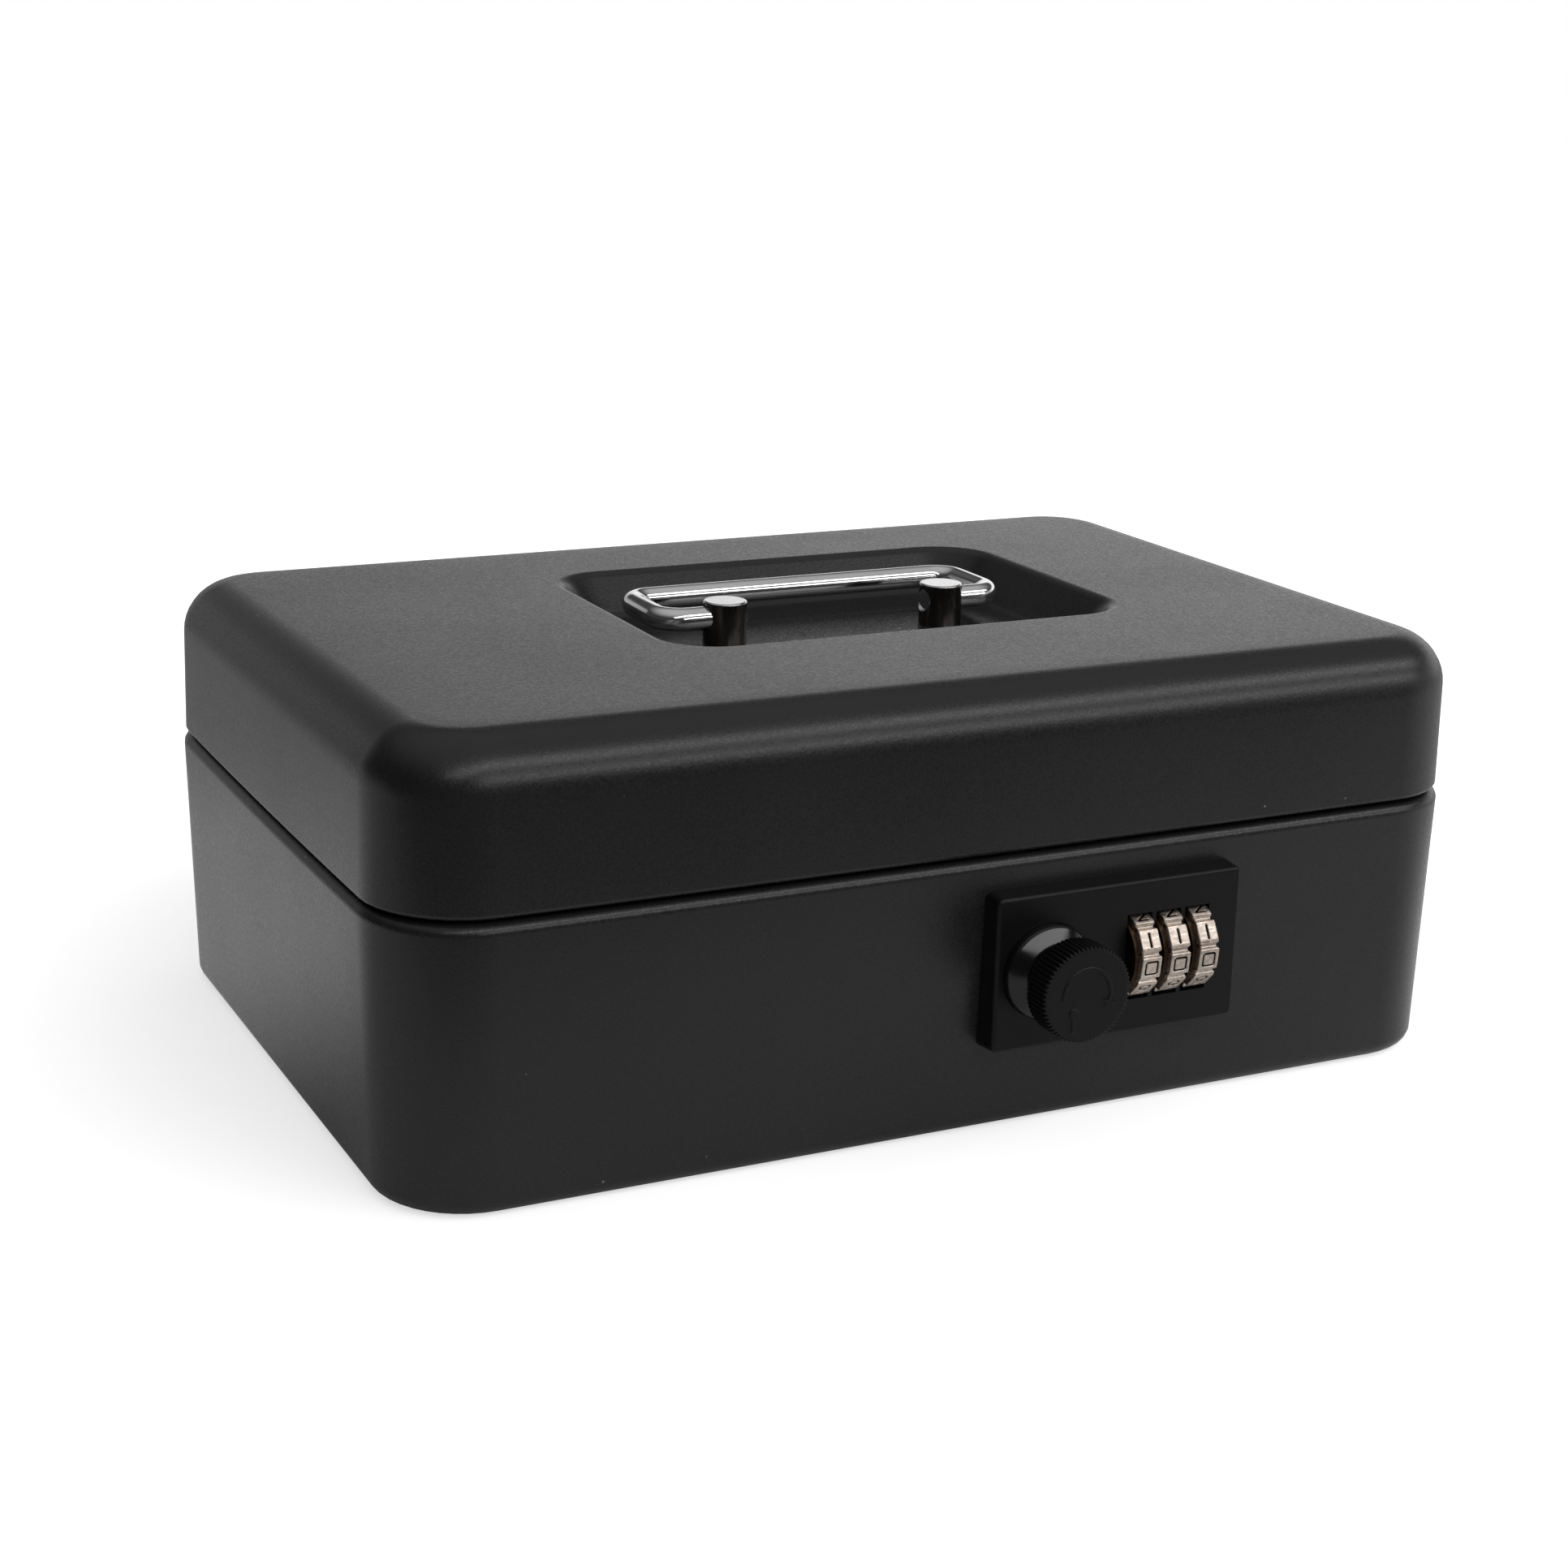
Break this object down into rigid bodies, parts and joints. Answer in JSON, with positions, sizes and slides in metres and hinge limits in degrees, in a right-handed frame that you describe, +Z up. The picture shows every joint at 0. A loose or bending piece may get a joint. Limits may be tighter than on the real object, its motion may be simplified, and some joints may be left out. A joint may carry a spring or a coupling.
{
  "type": "cash box",
  "caption": "Steel cash box with a hinged lid, folding wire handle in a sunk recess, coin tray, and a combination lock worked by a turning knob.",
  "frame": {"origin": "centre of the flat underside", "axes": "+Z up, +X to the right as seen from the front, -Y to the front, where the lock is"},
  "size_m": [0.25, 0.1972, 0.0953],
  "materials": {
    "box_paint": "fine-textured satin black powder coat",
    "hinge_paint": "satin black powder coat",
    "zinc_steel": "zinc-plated pressed steel",
    "steel_pin": "drawn bright steel",
    "spring_steel": "blued spring steel",
    "handle_chrome": "bright chrome plate",
    "plate_black": "satin black die casting",
    "collar_gloss": "gloss black moulding",
    "knob_black": "matt black moulding, knurled",
    "wheel_nickel": "satin nickel with dark engraved digits",
    "cam_brass": "dull brass",
    "case_zinc": "raw zinc die casting",
    "tray_plastic": "black moulded plastic"
  },
  "bodies": {
    "base": {"base_shell": "box_paint", "hinge_leaf_base_left": "hinge_paint", "hinge_leaf_base_right": "hinge_paint", "hinge_pin_left": "steel_pin", "hinge_pin_right": "steel_pin", "lock_plate": "plate_black", "knob_collar": "collar_gloss", "wheel_axle": "steel_pin", "detent_spring": "spring_steel", "lock_case": "case_zinc", "lock_cover": "zinc_steel", "cover_screws": "zinc_steel", "lock_screws": "zinc_steel", "coin_tray": "tray_plastic"},
    "lid": {"lid_shell": "box_paint", "lid_striker": "zinc_steel", "hinge_leaf_lid_left": "hinge_paint", "hinge_leaf_lid_right": "hinge_paint", "handle_post_left": "handle_chrome", "handle_post_right": "handle_chrome", "handle_washers": "zinc_steel", "handle_screws": "zinc_steel"},
    "handle": {"handle_bail": "handle_chrome"},
    "knob": {"knob": "knob_black", "knob_spindle": "steel_pin", "latch_hook": "zinc_steel", "latch_screw": "zinc_steel", "crank_pin": "steel_pin"},
    "fence": {"fence_slide": "zinc_steel", "fence_guide_studs": "steel_pin"},
    "wheel_1": {"number_wheel_1": "wheel_nickel", "wheel_cam_1": "cam_brass"},
    "wheel_2": {"number_wheel_2": "wheel_nickel", "wheel_cam_2": "cam_brass"},
    "wheel_3": {"number_wheel_3": "wheel_nickel", "wheel_cam_3": "cam_brass"},
    "reset": {"reset_lever": "cam_brass"}
  },
  "joints": [
    {"name": "lid_hinge", "type": "hinge", "parent": "base", "child": "lid", "pos_m": [0, 0.0875, 0.0602], "axis": [-1, 0, 0], "range_deg": [0, 105]},
    {"name": "handle_fold", "type": "hinge", "parent": "lid", "child": "handle", "pos_m": [0.012, 0.008, 0.0915], "axis": [1, 0, 0], "range_deg": [0, 90]},
    {"name": "knob_turn", "type": "hinge", "parent": "base", "child": "knob", "pos_m": [0.0122, -0.09058, 0.0362], "axis": [0, -1, 0], "range_deg": [0, 90]},
    {"name": "fence_lift", "type": "slide", "parent": "base", "child": "fence", "axis": [0, 0, 1], "range_m": [0, 0.0099]},
    {"name": "wheel_1_spin", "type": "hinge", "parent": "base", "child": "wheel_1", "pos_m": [0.0343, -0.08578, 0.0362], "axis": [1, 0, 0], "continuous": true},
    {"name": "wheel_2_spin", "type": "hinge", "parent": "base", "child": "wheel_2", "pos_m": [0.0414, -0.08578, 0.0362], "axis": [1, 0, 0], "continuous": true},
    {"name": "wheel_3_spin", "type": "hinge", "parent": "base", "child": "wheel_3", "pos_m": [0.0485, -0.08578, 0.0362], "axis": [1, 0, 0], "continuous": true},
    {"name": "reset_slide", "type": "slide", "parent": "base", "child": "reset", "axis": [1, 0, 0], "range_m": [0, 0.003]}
  ],
  "couplings": [
    {"joint": "fence_lift", "follows": "knob_turn", "m_per_rad": 0.0063022}
  ]
}
